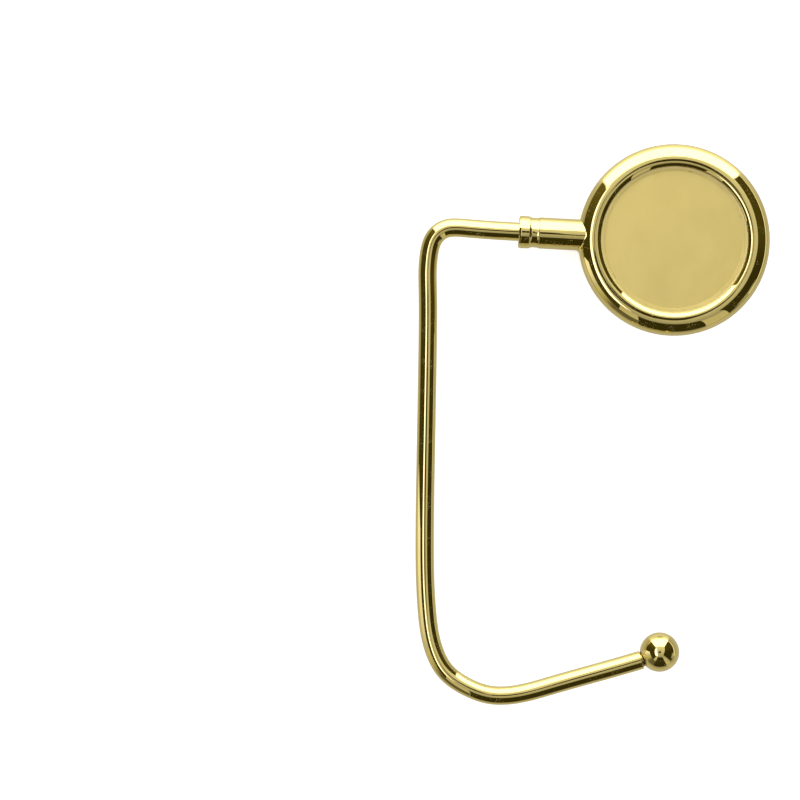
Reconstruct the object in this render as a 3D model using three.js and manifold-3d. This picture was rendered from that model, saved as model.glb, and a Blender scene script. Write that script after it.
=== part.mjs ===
// Table hook for a handbag: a round weighted head that lies on a table top, and a bent wire hook that swivels in the head's barrel.
// Millimetres, +Z up. The part lies flat, as it is stored: the rubber pad and the ball tip both touch z = 0.
// Origin: centre of the grip pad's underside. The barrel points along -X, and the hook's long leg runs along -Y.
// In use the hook is turned back 90 degrees about the barrel's axis, so that the long leg points down along -Z; a positive turn lifts it off the table.
import * as THREE from "three";
import { mergeVertices } from "three/addons/utils/BufferGeometryUtils.js";
import Module from "manifold-3d";

const wasm = await Module();
wasm.setup();

// ---------------------------------------------------------------- driving dimensions, mm
const AXIS_Z = 4.45; // height of the swivel axis over the table

// round head
const HEAD_R = 21.55; // outside radius
const CREST_R = [17.78, 17.95]; // the rim's highest part is a narrow land between these radii
const CREST_Z = 8.45; // height of the rim
const EQUATOR_Z = 5.03; // height where the rim is widest
const FOOT_R = 19.0; // outside radius of the foot edge
const FOOT_Z = 0.9; // the pad stands this much proud of the foot edge
const LIP_ROUND = [1.8, 1.66]; // half width and depth of the rounded lip's oval
const LIP_R = 16.55; // wall of the face recess, which cuts the oval off
const FACE_SEAT_Z = 6.2; // floor of the face recess
const PAD_SEAT_R = 18.7; // pad recess in the underside
const PAD_SEAT_Z = 2.2;
const HEAD_SEGMENTS = 64;
const DISC_SEGMENTS = 48; // the flat round parts

// barrel, one with the head
const BARREL_R = 3.51;
const BARREL_ROOT = 19.2; // the barrel starts inside the rim, at this distance from the head's centre
const BARREL_END = 30.42; // distance of the barrel's mouth from the head's centre
const BARREL_ROUND = 0.15;
const BORE_R = 2.72;
const BORE_END = 20.9; // distance of the blind bore's bottom from the head's centre
const BARREL_SEGMENTS = 32;

// face inlay and its adhesive
const PLATE_R = 16.5;
const PLATE_Z = [6.33, 6.8];
const PLATE_EDGE = [16.2, 1.5, 10]; // the inlay turns up from this radius: start, radius of the hollow, its turn in degrees
const PLATE_DISH_R = 15.35; // inside this radius the face is flat
const PLATE_DISH = 0.07; // the flat part lies this much lower than the rim of the inlay
const FOIL_R = 15.6;
const FOIL_Z = [6.22, 6.31];

// grip pad and its adhesive
const PAD_R = 18.5;
const PAD_THICK = 2.05;
const PAD_GROOVES = [6.5, 10.5, 14.5]; // inner radii of the grip grooves
const PAD_GROOVE_W = 0.7;
const PAD_GROOVE_D = 0.4;
const TAPE_R = 18.1;
const TAPE_Z = [2.07, 2.18];

// hook wire
const WIRE_R = 2.08;
const WIRE_START = 34.93; // distance of the collar's outer face from the head's centre
const WIRE_SIDES = 16;
// Bend table: [length along the centreline from the collar's face, curvature in 1/mm, positive to the left]
const BENDS = [
  [0, 0.0], [5, -0.0042], [10, -0.0052], [12, 0.0105], [13.5, 0.0364], [15, 0.1278], [16.5, 0.2032], [18, 0.2043],
  [19.5, 0.1896], [21, 0.1535], [23, 0.0524], [25, 0.0313], [28, 0.0261], [32, -0.005], [45, -0.0004], [65, 0.0],
  [85, 0.0014], [97, 0.0058], [104, 0.0093], [109, 0.0319], [113, 0.0432], [116, 0.0732], [118.5, 0.0943], [121, 0.0695],
  [124, 0.0405], [127, 0.0516], [130, 0.076], [133, 0.0486], [137, 0.0317], [141, 0.0101], [145, -0.0026], [155, 0.0006],
  [165.2, 0.0036],
];
const WIRE_LENGTH = 165.2;
const SPIGOT_R = 1.6; // turned end that carries the ball
const SPIGOT_LENGTH = 3.4;
const JOURNAL_END = 23.6; // distance of the wire's inner end from the head's centre
const GROOVE = [25.3, 26.0]; // retaining ring groove, distances from the head's centre
const GROOVE_R = 1.65;

// ball tip
const BALL_R = 4.44;
const BALL_AHEAD = 4.36; // ball centre past the wire's end, along the wire
const BALL_ASIDE = 0.48; // ball centre off the wire's axis, to the left
const BALL_BORE_R = 1.66;
const BALL_BORE_DEPTH = 3.7;

// parts inside the barrel, as distances from the head's centre
const COLLAR_R = 3.66;
const COLLAR_FLANGE = [32.42, 34.93];
const COLLAR_GAP = 0.04; // between the barrel's mouth and the collar
const WAIST = [[3.4, 30.46], [3.345, 30.8], [3.32, 31.4], [3.35, 32.0], [3.42, 32.3]]; // radius and place of the shallow waist beside the barrel
const COLLAR_BORE_R = 2.15;
const SLEEVE_R = 2.69;
const SLEEVE_END = 27.4;
const THRUST_WASHER = [27.05, 27.38];
const WAVE_WASHER = [26.2, 26.45]; // thickness at the middle of the wave
const WAVE_HEIGHT = 0.2;
const WASHER_R = [2.2, 2.62];
const RING_R = [1.7, 2.5];
const RING_X = [25.4, 25.9];
const BUSH_R = [2.14, 2.68];
const BUSH_X = [21.1, 25.1];

// ---------------------------------------------------------------- materials
const gold = () => new THREE.MeshStandardMaterial({ color: 0xd8bb4c, metalness: 1, roughness: 0.12 });
const satinGold = () => new THREE.MeshStandardMaterial({ color: 0xd2b95c, metalness: 1, roughness: 0.42 });
const steel = () => new THREE.MeshStandardMaterial({ color: 0xb9bcc0, metalness: 1, roughness: 0.35 });
const rubber = () => new THREE.MeshStandardMaterial({ color: 0x1b1b1c, metalness: 0, roughness: 0.85 });
const acetal = () => new THREE.MeshStandardMaterial({ color: 0xe9e7df, metalness: 0, roughness: 0.5 });
const tape = () => new THREE.MeshStandardMaterial({ color: 0xdcdad2, metalness: 0, roughness: 0.8 });

// ---------------------------------------------------------------- geometry helpers
// Position-only, merged, and turned so that its faces point out.
function closed(geometry) {
  let g = geometry.index ? geometry.toNonIndexed() : geometry.clone();
  const only = new THREE.BufferGeometry();
  only.setAttribute("position", g.getAttribute("position").clone());
  const merged = mergeVertices(only, 1e-4);
  const p = merged.getAttribute("position");
  const kept = [];
  const index = merged.index.array;
  let volume = 0;
  const a = new THREE.Vector3(), b = new THREE.Vector3(), c = new THREE.Vector3();
  for (let i = 0; i < index.length; i += 3) {
    const [u, v, w] = [index[i], index[i + 1], index[i + 2]];
    if (u === v || v === w || w === u) continue;
    kept.push(u, v, w);
    a.fromBufferAttribute(p, u);
    b.fromBufferAttribute(p, v);
    c.fromBufferAttribute(p, w);
    volume += a.dot(b.cross(c));
  }
  if (volume < 0) for (let i = 0; i < kept.length; i += 3) [kept[i + 1], kept[i + 2]] = [kept[i + 2], kept[i + 1]];
  merged.setIndex(kept);
  return merged;
}

function solid(geometry) {
  const g = closed(geometry);
  return new wasm.Manifold(
    new wasm.Mesh({ numProp: 3, vertProperties: new Float32Array(g.getAttribute("position").array), triVerts: new Uint32Array(g.index.array) }),
  );
}

function geometryOf(manifold) {
  const m = manifold.getMesh();
  const v = new Float32Array(m.numVert * 3);
  for (let i = 0; i < m.numVert; i++) v.set(m.vertProperties.subarray(i * m.numProp, i * m.numProp + 3), i * 3);
  const g = new THREE.BufferGeometry();
  g.setAttribute("position", new THREE.BufferAttribute(v, 3));
  g.setIndex(new THREE.BufferAttribute(new Uint32Array(m.triVerts), 1));
  return g;
}

function finish(geometry) {
  const g = geometry.toNonIndexed();
  g.computeVertexNormals();
  return g;
}

// Turned about the vertical axis: profile of [radius, z].
function turnedZ(profile, segments = HEAD_SEGMENTS) {
  const g = new THREE.LatheGeometry(profile.map(([r, z]) => new THREE.Vector2(r, z)), segments);
  g.rotateX(Math.PI / 2);
  return g;
}

// Turned about the swivel axis: profile of [distance from the head's centre, radius]. The distance runs along -X.
function turnedX(profile, segments = BARREL_SEGMENTS) {
  const g = new THREE.LatheGeometry(profile.map(([d, r]) => new THREE.Vector2(r, d)), segments);
  g.rotateZ(Math.PI / 2);
  g.translate(0, 0, AXIS_Z);
  return g;
}

function arc(cx, cy, rx, ry, from, to, steps) {
  const out = [];
  for (let i = 0; i <= steps; i++) {
    const t = THREE.MathUtils.degToRad(from + ((to - from) * i) / steps);
    out.push([cx + rx * Math.cos(t), cy + ry * Math.sin(t)]);
  }
  return out;
}

const tube = (inner, outer, [from, to]) => [[from, inner], [from, outer], [to, outer], [to, inner], [from, inner]];

function mesh(name, geometry, material) {
  const m = new THREE.Mesh(finish(closed(geometry)), material);
  m.name = name;
  return m;
}

// ---------------------------------------------------------------- head
const LIP_END = 180 - THREE.MathUtils.radToDeg(Math.acos((CREST_R[0] - LIP_R) / LIP_ROUND[0]));
const headProfile = [
  [0, PAD_SEAT_Z],
  [PAD_SEAT_R, PAD_SEAT_Z],
  [PAD_SEAT_R, FOOT_Z],
  ...arc(FOOT_R, EQUATOR_Z, HEAD_R - FOOT_R, EQUATOR_Z - FOOT_Z, -90, 0, 9),
  ...arc(CREST_R[1], EQUATOR_Z, HEAD_R - CREST_R[1], CREST_Z - EQUATOR_Z, 0, 90, 10).slice(1),
  ...arc(CREST_R[0], CREST_Z - LIP_ROUND[1], LIP_ROUND[0], LIP_ROUND[1], 90, LIP_END, 6),
  [LIP_R, FACE_SEAT_Z],
  [0, FACE_SEAT_Z],
];
const barrelProfile = [
  [BARREL_ROOT, 0],
  [BARREL_ROOT, BARREL_R],
  [BARREL_END - BARREL_ROUND, BARREL_R],
  ...arc(BARREL_END - BARREL_ROUND, BARREL_R - BARREL_ROUND, BARREL_ROUND, BARREL_ROUND, 90, 0, 3).slice(1),
  [BARREL_END, 0],
];
const boreProfile = [
  [BORE_END, 0],
  [BORE_END, BORE_R],
  [BARREL_END + 2, BORE_R],
  [BARREL_END + 2, 0],
];
const headSolid = solid(turnedZ(headProfile)).add(solid(turnedX(barrelProfile))).subtract(solid(turnedX(boreProfile)));

// ---------------------------------------------------------------- face inlay, pad and adhesives
const plateProfile = [
  [0, PLATE_Z[0]],
  [PLATE_R, PLATE_Z[0]],
  [PLATE_R, PLATE_Z[1] + PLATE_EDGE[1] * (1 - Math.cos(THREE.MathUtils.degToRad(PLATE_EDGE[2])))],
  ...arc(PLATE_EDGE[0], PLATE_Z[1] + PLATE_EDGE[1], PLATE_EDGE[1], PLATE_EDGE[1], PLATE_EDGE[2] - 90, -90, 5),
  [PLATE_DISH_R + 0.6, PLATE_Z[1]],
  [PLATE_DISH_R, PLATE_Z[1] - PLATE_DISH],
  [0, PLATE_Z[1] - PLATE_DISH],
];
const foilProfile = [[0, FOIL_Z[0]], [FOIL_R, FOIL_Z[0]], [FOIL_R, FOIL_Z[1]], [0, FOIL_Z[1]]];
const tapeProfile = [[0, TAPE_Z[0]], [TAPE_R, TAPE_Z[0]], [TAPE_R, TAPE_Z[1]], [0, TAPE_Z[1]]];
const padProfile = [
  [0, 0],
  ...PAD_GROOVES.flatMap((r) => [[r, 0], [r + 0.1, PAD_GROOVE_D], [r + PAD_GROOVE_W - 0.1, PAD_GROOVE_D], [r + PAD_GROOVE_W, 0]]),
  [PAD_R - 0.4, 0],
  [PAD_R, 0.4],
  [PAD_R, PAD_THICK],
  [0, PAD_THICK],
];

// ---------------------------------------------------------------- hook wire
// Curvature between two entries of the bend table follows a monotone cubic, so it has no kinks or overshoot.
const bendSlopes = (() => {
  const h = [], d = [];
  for (let i = 0; i + 1 < BENDS.length; i++) {
    h.push(BENDS[i + 1][0] - BENDS[i][0]);
    d.push((BENDS[i + 1][1] - BENDS[i][1]) / h[i]);
  }
  return BENDS.map((_, i) => {
    if (i === 0 || i === BENDS.length - 1) return 0;
    if (d[i - 1] * d[i] <= 0) return 0;
    const w1 = 2 * h[i] + h[i - 1], w2 = h[i] + 2 * h[i - 1];
    return (w1 + w2) / (w1 / d[i - 1] + w2 / d[i]);
  });
})();
function curvatureAt(s) {
  let i = 0;
  while (i < BENDS.length - 2 && s > BENDS[i + 1][0]) i++;
  const h = BENDS[i + 1][0] - BENDS[i][0];
  const t = Math.min(1, Math.max(0, (s - BENDS[i][0]) / h));
  const [y0, y1, m0, m1] = [BENDS[i][1], BENDS[i + 1][1], bendSlopes[i] * h, bendSlopes[i + 1] * h];
  const t2 = t * t, t3 = t2 * t;
  return (2 * t3 - 3 * t2 + 1) * y0 + (t3 - 2 * t2 + t) * m0 + (-2 * t3 + 3 * t2) * y1 + (t3 - t2) * m1;
}
// Centreline stations: [length, x, y, heading]
const STATION = 0.05;
const line = [[0, -WIRE_START, 0, Math.PI]];
for (let n = 0; n < WIRE_LENGTH / STATION - 1e-9; n++) {
  const [s, x, y, heading] = line[n];
  const next = heading + curvatureAt(s + STATION / 2) * STATION;
  const mid = (heading + next) / 2;
  line.push([s + STATION, x + Math.cos(mid) * STATION, y + Math.sin(mid) * STATION, next]);
}
function stationAt(s) {
  const n = Math.min(line.length - 1, Math.max(0, s / STATION));
  const i = Math.min(line.length - 2, Math.floor(n)), f = n - i;
  return line[i].map((v, k) => v + (line[i + 1][k] - v) * f);
}
// Lengths where the sweep puts a section: a new one for every few degrees of bend, and at least every 9 mm.
const cuts = [0];
{
  for (const [s, , , heading] of line) {
    const last = cuts[cuts.length - 1];
    const turned = heading - stationAt(last)[3];
    if ((Math.abs(turned) > 0.115 && s - last > 0.5) || s - last > 9) cuts.push(s);
  }
  if (WIRE_LENGTH - cuts[cuts.length - 1] < 1) cuts.pop();
  cuts.push(WIRE_LENGTH);
}

class HookLine extends THREE.Curve {
  getPoint(t, target = new THREE.Vector3()) {
    const n = t * (cuts.length - 1), i = Math.min(cuts.length - 2, Math.floor(n + 1e-9));
    const [, x, y] = stationAt(cuts[i] + (cuts[i + 1] - cuts[i]) * (n - i));
    return target.set(x, y, AXIS_Z);
  }
  getTangent(t, target = new THREE.Vector3()) {
    const n = t * (cuts.length - 1), i = Math.min(cuts.length - 2, Math.floor(n + 1e-9));
    const heading = stationAt(cuts[i] + (cuts[i + 1] - cuts[i]) * (n - i))[3];
    return target.set(Math.cos(heading), Math.sin(heading), 0);
  }
  getPointAt(u, target) {
    return this.getPoint(u, target);
  }
  getTangentAt(u, target) {
    return this.getTangent(u, target);
  }
}
const section = new THREE.Shape(arc(0, 0, WIRE_R, WIRE_R, 11.25, 348.75, WIRE_SIDES - 1).map(([x, y]) => new THREE.Vector2(x, y)));
const sweep = new THREE.ExtrudeGeometry(section, { steps: cuts.length - 1, bevelEnabled: false, extrudePath: new HookLine() });

// Journal inside the collar and barrel, with the groove of the retaining ring.
const journalProfile = [
  [JOURNAL_END, 0],
  [JOURNAL_END, WIRE_R - 0.35],
  [JOURNAL_END + 0.35, WIRE_R],
  [GROOVE[0], WIRE_R],
  [GROOVE[0], GROOVE_R],
  [GROOVE[1], GROOVE_R],
  [GROOVE[1], WIRE_R],
  [WIRE_START + 0.3, WIRE_R],
  [WIRE_START + 0.3, 0],
];
// A solid of revolution at the wire's tip: profile of [distance past the wire's end, radius].
const [, tipX, tipY, tipHeading] = line[line.length - 1];
function turnedTip(profile, segments, aside = 0) {
  const g = new THREE.LatheGeometry(profile.map(([d, r]) => new THREE.Vector2(r, d)), segments);
  g.rotateZ(-Math.PI / 2); // the turning axis now runs along +X
  g.translate(0, aside, 0);
  g.rotateZ(tipHeading);
  g.translate(tipX, tipY, AXIS_Z);
  return g;
}
const spigotProfile = [[-0.6, 0], [-0.6, SPIGOT_R], [SPIGOT_LENGTH - 0.25, SPIGOT_R], [SPIGOT_LENGTH, SPIGOT_R - 0.25], [SPIGOT_LENGTH, 0]];
const wireSolid = solid(sweep).add(solid(turnedX(journalProfile, 32))).add(solid(turnedTip(spigotProfile, 24)));

// ---------------------------------------------------------------- ball tip
const ballProfile = arc(BALL_AHEAD, 0, BALL_R, BALL_R, 180, 0, 18).map(([d, r]) => [d, Math.abs(r) < 1e-9 ? 0 : r]);
const ballBore = [[-1, 0], [-1, BALL_BORE_R], [BALL_BORE_DEPTH, BALL_BORE_R], [BALL_BORE_DEPTH + 0.5, 0]];
const ballSolid = solid(turnedTip(ballProfile, 36, BALL_ASIDE)).subtract(solid(turnedTip(ballBore, 24)));

// ---------------------------------------------------------------- collar and the parts that it traps
const collarProfile = [
  [SLEEVE_END, COLLAR_BORE_R],
  [SLEEVE_END, SLEEVE_R - 0.1],
  [SLEEVE_END + 0.2, SLEEVE_R],
  [BARREL_END + COLLAR_GAP, SLEEVE_R],
  ...WAIST.map(([r, x]) => [x, r]),
  ...arc(COLLAR_FLANGE[0] + 0.35, COLLAR_R - 0.35, 0.35, 0.35, 130, 90, 3),
  ...arc(COLLAR_FLANGE[1] - 0.45, COLLAR_R - 0.45, 0.45, 0.45, 90, 0, 3),
  [COLLAR_FLANGE[1], COLLAR_BORE_R + 0.15],
  [COLLAR_FLANGE[1] - 0.15, COLLAR_BORE_R],
  [SLEEVE_END, COLLAR_BORE_R],
];

// Wavy spring washer: a flat ring whose vertices follow three waves.
const waveShape = new THREE.Shape().absarc(0, 0, WASHER_R[1], 0, 2 * Math.PI, false);
waveShape.holes.push(new THREE.Path().absarc(0, 0, WASHER_R[0], 0, 2 * Math.PI, true));
const wave = new THREE.ExtrudeGeometry(waveShape, { depth: WAVE_WASHER[1] - WAVE_WASHER[0], bevelEnabled: false, curveSegments: 24 });
{
  const p = wave.getAttribute("position");
  for (let i = 0; i < p.count; i++) p.setZ(i, p.getZ(i) + WAVE_HEIGHT * Math.sin(3 * Math.atan2(p.getY(i), p.getX(i))));
  wave.rotateY(-Math.PI / 2);
  wave.translate(-WAVE_WASHER[0], 0, AXIS_Z);
}

// Retaining ring: a flat ring with a gap, sprung into the wire's groove.
const gap = THREE.MathUtils.degToRad(38);
const ringShape = new THREE.Shape();
ringShape.absarc(0, 0, RING_R[1], gap / 2, 2 * Math.PI - gap / 2, false);
ringShape.absarc(0, 0, RING_R[0], 2 * Math.PI - gap / 2, gap / 2, true);
const ring = new THREE.ExtrudeGeometry(ringShape, { depth: RING_X[1] - RING_X[0], bevelEnabled: false, curveSegments: 16 });
ring.rotateY(-Math.PI / 2);
ring.translate(-RING_X[0], 0, AXIS_Z);

// ---------------------------------------------------------------- assembly
const head = new THREE.Group();
head.add(
  mesh("head_casting", geometryOf(headSolid), gold()),
  mesh("face_plate", turnedZ(plateProfile, DISC_SEGMENTS), satinGold()),
  mesh("face_plate_adhesive", turnedZ(foilProfile, DISC_SEGMENTS), tape()),
  mesh("grip_pad", turnedZ(padProfile, DISC_SEGMENTS), rubber()),
  mesh("grip_pad_adhesive", turnedZ(tapeProfile, DISC_SEGMENTS), tape()),
  mesh("barrel_collar", turnedX(collarProfile), gold()),
  mesh("thrust_washer", turnedX(tube(WASHER_R[0], WASHER_R[1], THRUST_WASHER)), steel()),
  mesh("wave_washer", wave, steel()),
  mesh("friction_bush", turnedX(tube(BUSH_R[0], BUSH_R[1], BUSH_X)), acetal()),
);
const hook = new THREE.Group();
hook.add(
  mesh("hook_wire", geometryOf(wireSolid), gold()),
  mesh("retaining_ring", ring, steel()),
  mesh("ball_tip", geometryOf(ballSolid), gold()),
);
const purseHook = new THREE.Group();
purseHook.add(head, hook);

export default purseHook;
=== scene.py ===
import math

import bpy
import numpy as np
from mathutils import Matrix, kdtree
from mathutils.geometry import delaunay_2d_cdt


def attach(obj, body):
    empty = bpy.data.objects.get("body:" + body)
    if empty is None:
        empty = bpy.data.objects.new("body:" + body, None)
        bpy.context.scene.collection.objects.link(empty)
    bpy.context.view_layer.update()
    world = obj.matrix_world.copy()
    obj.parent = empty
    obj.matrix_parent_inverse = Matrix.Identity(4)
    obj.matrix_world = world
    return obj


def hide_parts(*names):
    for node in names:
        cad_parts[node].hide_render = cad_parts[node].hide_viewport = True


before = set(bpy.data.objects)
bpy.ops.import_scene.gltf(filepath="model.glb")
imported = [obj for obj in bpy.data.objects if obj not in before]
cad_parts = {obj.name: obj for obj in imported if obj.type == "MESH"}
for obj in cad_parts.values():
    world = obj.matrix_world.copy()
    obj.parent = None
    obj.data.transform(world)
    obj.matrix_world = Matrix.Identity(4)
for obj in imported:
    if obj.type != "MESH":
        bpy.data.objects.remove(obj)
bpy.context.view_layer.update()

MM = 0.001
PI = math.pi
scene = bpy.context.scene

# ------------------------------------------------------------------ camera
# The photograph looks straight down. One pixel is 0.225 mm at the height of the swivel axis.
AXIS_Z = 4.45
VIEW_TURN = 3.045  # degrees between the picture's x axis and the barrel
VIEW_CENTRE = (-59.61, -39.20)
VIEW_DISTANCE = 1.0
camera_data = bpy.data.cameras.new("camera")
camera_data.type = "PERSP"
camera_data.sensor_width = 36.0
camera_data.lens = 36.0 * VIEW_DISTANCE / 0.18
camera_data.clip_start = 0.05
camera_data.clip_end = 30.0
camera = bpy.data.objects.new("camera", camera_data)
camera.location = (VIEW_CENTRE[0] * MM, VIEW_CENTRE[1] * MM, AXIS_Z * MM + VIEW_DISTANCE)
camera.rotation_euler = (0, 0, math.radians(VIEW_TURN))
scene.collection.objects.link(camera)
scene.camera = camera


# ------------------------------------------------------------------ mesh tools
class Skin:
    """Faces with a normal at every corner. Corners at one place become one vertex, and faces turn to agree with their normals."""

    def __init__(self):
        self.sets = []

    def grid(self, places, normals, around=False):
        """places and normals are rows x columns x 3; around joins the last column to the first."""
        p, n = np.asarray(places, float), np.asarray(normals, float)
        if around:
            p, n = np.concatenate([p, p[:, :1]], 1), np.concatenate([n, n[:, :1]], 1)

        def quads(a):
            return np.stack([a[:-1, :-1], a[1:, :-1], a[1:, 1:], a[:-1, 1:]], 2).reshape(-1, 4, 3)

        self.sets.append((quads(p), quads(n)))

    def faces(self, places, normals):
        """places and normals are faces x corners x 3."""
        self.sets.append((np.asarray(places, float), np.asarray(normals, float)))

    def build(self, name, material, body, slot, *replaced):
        corners, normals, sizes = [], [], []
        for p, n in self.sets:
            k = p.shape[1]
            across = np.cross(p[:, 2] - p[:, 0], p[:, k - 1] - p[:, 1])
            turned = (across * n.sum(1)).sum(1) < 0
            p, n = p.copy(), n.copy()
            p[turned], n[turned] = p[turned][:, ::-1], n[turned][:, ::-1]
            corners.append(p.reshape(-1, 3))
            normals.append(n.reshape(-1, 3))
            sizes.append(np.full(len(p), k))
        corners, normals, sizes = np.concatenate(corners), np.concatenate(normals), np.concatenate(sizes)
        normals /= np.maximum(np.linalg.norm(normals, axis=1), 1e-12)[:, None]
        _, first, index = np.unique(np.round(corners / 2e-4).astype(np.int64), axis=0, return_index=True, return_inverse=True)
        index = index.ravel()
        places = corners[first]
        tree = kdtree.KDTree(len(places))
        for i, p in enumerate(places):
            tree.insert(p, i)
        tree.balance()
        same = np.arange(len(places))
        for i, p in enumerate(places):
            near = [j for _, j, _ in tree.find_range(p, 4e-4) if j < i]
            if near:
                same[i] = same[min(near)]
        index = same[index]
        used, index = np.unique(index, return_inverse=True)
        index = index.ravel()
        places = places[used]
        polygons, kept, at = [], [], 0
        for size in sizes:
            ids = index[at : at + size]
            keep = [j for j in range(size) if ids[j] != ids[j - 1]]
            if len(keep) >= 3 and len({int(ids[j]) for j in keep}) == len(keep):
                polygons.append([int(ids[j]) for j in keep])
                kept += [at + j for j in keep]
            at += size
        mesh = bpy.data.meshes.new(name)
        mesh.from_pydata((places * MM).tolist(), [], polygons)
        mesh.polygons.foreach_set("use_smooth", np.ones(len(polygons), bool))
        mesh.update()
        mesh.normals_split_custom_set(normals[kept].tolist())
        piece = bpy.data.objects.new(name, mesh)
        scene.collection.objects.link(piece)
        mesh.materials.append(material)
        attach(piece, body)
        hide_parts(*replaced)
        return piece


def outline(points, steps=8):
    """Corners [across, along, rounding] as smooth runs of rows [across, along, normal across, normal along]. Outside is on the right of the way it goes."""
    points = [(p[0], p[1], p[2] if len(p) > 2 else 0.0) for p in points]
    runs, run = [], []
    for i, (r, h, rounding) in enumerate(points):
        here = np.array([r, h])
        before = here - np.array(points[i - 1][:2]) if i else None
        after = np.array(points[i + 1][:2]) - here if i + 1 < len(points) else None
        if before is not None:
            before /= np.linalg.norm(before)
        if after is not None:
            after /= np.linalg.norm(after)
        if before is None:
            run = [[r, h, after[1], -after[0]]]
        elif after is None:
            run.append([r, h, before[1], -before[0]])
            runs.append(np.array(run))
        elif rounding <= 0:
            run.append([r, h, before[1], -before[0]])
            runs.append(np.array(run))
            run = [[r, h, after[1], -after[0]]]
        else:
            turn = math.atan2(before[0] * after[1] - before[1] * after[0], before @ after)
            back = rounding * math.tan(abs(turn) / 2)
            side = 1 if turn > 0 else -1
            start = here - before * back
            centre = start + side * rounding * np.array([-before[1], before[0]])
            count = max(2, int(math.ceil(abs(turn) / (PI / 2) * steps)))
            for k in range(count + 1):
                a = turn * k / count
                way = np.array([before[0] * math.cos(a) - before[1] * math.sin(a), before[0] * math.sin(a) + before[1] * math.cos(a)])
                normal = np.array([way[1], -way[0]])
                place = centre + side * rounding * normal
                run.append([place[0], place[1], normal[0], normal[1]])
    return runs


def oval(cr, ch, ar, ah, start, stop, steps):
    """Rows along an arc of an ellipse, with its outward normals."""
    t = np.radians(np.linspace(start, stop, steps + 1))
    n = np.stack([np.cos(t) / ar, np.sin(t) / ah], 1)
    n /= np.linalg.norm(n, axis=1)[:, None]
    return np.concatenate([np.stack([cr + ar * np.cos(t), ch + ah * np.sin(t)], 1), n], 1)


def spread(rows, longest):
    """Adds rows to the straight stretches, so that no face is longer than that."""
    out = [rows[0]]
    for a, b in zip(rows[:-1], rows[1:]):
        n = max(1, int(math.ceil(math.hypot(b[0] - a[0], b[1] - a[1]) / longest)))
        for k in range(1, n + 1):
            out.append(a + (b - a) * k / n)
    return np.array(out)


def turned(skin, rows, angles, origin=(0, 0, 0), axis=(0, 0, 1), first=(1, 0, 0), second=(0, 1, 0), around=True):
    """Turns rows [radius, along, normal out, normal along] round an axis."""
    rows = np.asarray(rows, float)
    o, a, e, f = (np.array(v, float) for v in (origin, axis, first, second))
    out = np.cos(angles)[:, None] * e + np.sin(angles)[:, None] * f
    p = o + rows[:, None, 1, None] * a + rows[:, None, 0, None] * out[None]
    n = rows[:, None, 3, None] * a + rows[:, None, 2, None] * out[None]
    skin.grid(p, n, around)


def full_turn(count):
    return np.arange(count) * 2 * PI / count


BARREL_AXES = {"origin": (0, 0, AXIS_Z), "axis": (-1, 0, 0), "first": (0, 1, 0), "second": (0, 0, 1)}


# ------------------------------------------------------------------ materials
def new_material(name):
    material = bpy.data.materials.new(name)
    material.use_nodes = True
    tree = material.node_tree
    tree.nodes.clear()
    out = tree.nodes.new("ShaderNodeOutputMaterial")
    shader = tree.nodes.new("ShaderNodeBsdfPrincipled")
    tree.links.new(shader.outputs["BSDF"], out.inputs["Surface"])
    place = tree.nodes.new("ShaderNodeTexCoord")
    return material, tree, shader, place.outputs["Object"]


def stretched(tree, vector, scale, turn=(0, 0, 0)):
    node = tree.nodes.new("ShaderNodeMapping")
    node.inputs["Scale"].default_value = scale
    node.inputs["Rotation"].default_value = turn
    tree.links.new(vector, node.inputs["Vector"])
    return node.outputs["Vector"]


def noise(tree, vector, scale, detail=2.0, rough=0.5, offset=0.0):
    node = tree.nodes.new("ShaderNodeTexNoise")
    node.noise_dimensions = "4D"
    node.inputs["W"].default_value = offset
    node.inputs["Scale"].default_value = scale
    node.inputs["Detail"].default_value = detail
    node.inputs["Roughness"].default_value = rough
    tree.links.new(vector, node.inputs["Vector"])
    return node.outputs["Fac"]


def ramp(tree, value, low, high, to_low, to_high, smooth=True):
    node = tree.nodes.new("ShaderNodeMapRange")
    node.interpolation_type = "SMOOTHSTEP" if smooth else "LINEAR"
    node.inputs["From Min"].default_value = low
    node.inputs["From Max"].default_value = high
    node.inputs["To Min"].default_value = to_low
    node.inputs["To Max"].default_value = to_high
    tree.links.new(value, node.inputs["Value"])
    return node.outputs["Result"]


def maths(tree, kind, a, b):
    node = tree.nodes.new("ShaderNodeMath")
    node.operation = kind
    for i, v in enumerate((a, b)):
        if isinstance(v, (int, float)):
            node.inputs[i].default_value = v
        else:
            tree.links.new(v, node.inputs[i])
    return node.outputs[0]


def mixed(tree, factor, a, b):
    node = tree.nodes.new("ShaderNodeMix")
    node.data_type = "RGBA"
    tree.links.new(factor, node.inputs["Factor"])
    for socket, v in (("A", a), ("B", b)):
        target = [s for s in node.inputs if s.name == socket and s.type == "RGBA"][0]
        if isinstance(v, tuple):
            target.default_value = (*v, 1.0)
        else:
            tree.links.new(v, target)
    return [s for s in node.outputs if s.type == "RGBA"][0]


def bump(tree, height, distance, strength=1.0, under=None):
    node = tree.nodes.new("ShaderNodeBump")
    node.inputs["Strength"].default_value = strength
    node.inputs["Distance"].default_value = distance
    tree.links.new(height, node.inputs["Height"])
    if under is not None:
        tree.links.new(under, node.inputs["Normal"])
    return node.outputs["Normal"]


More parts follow.
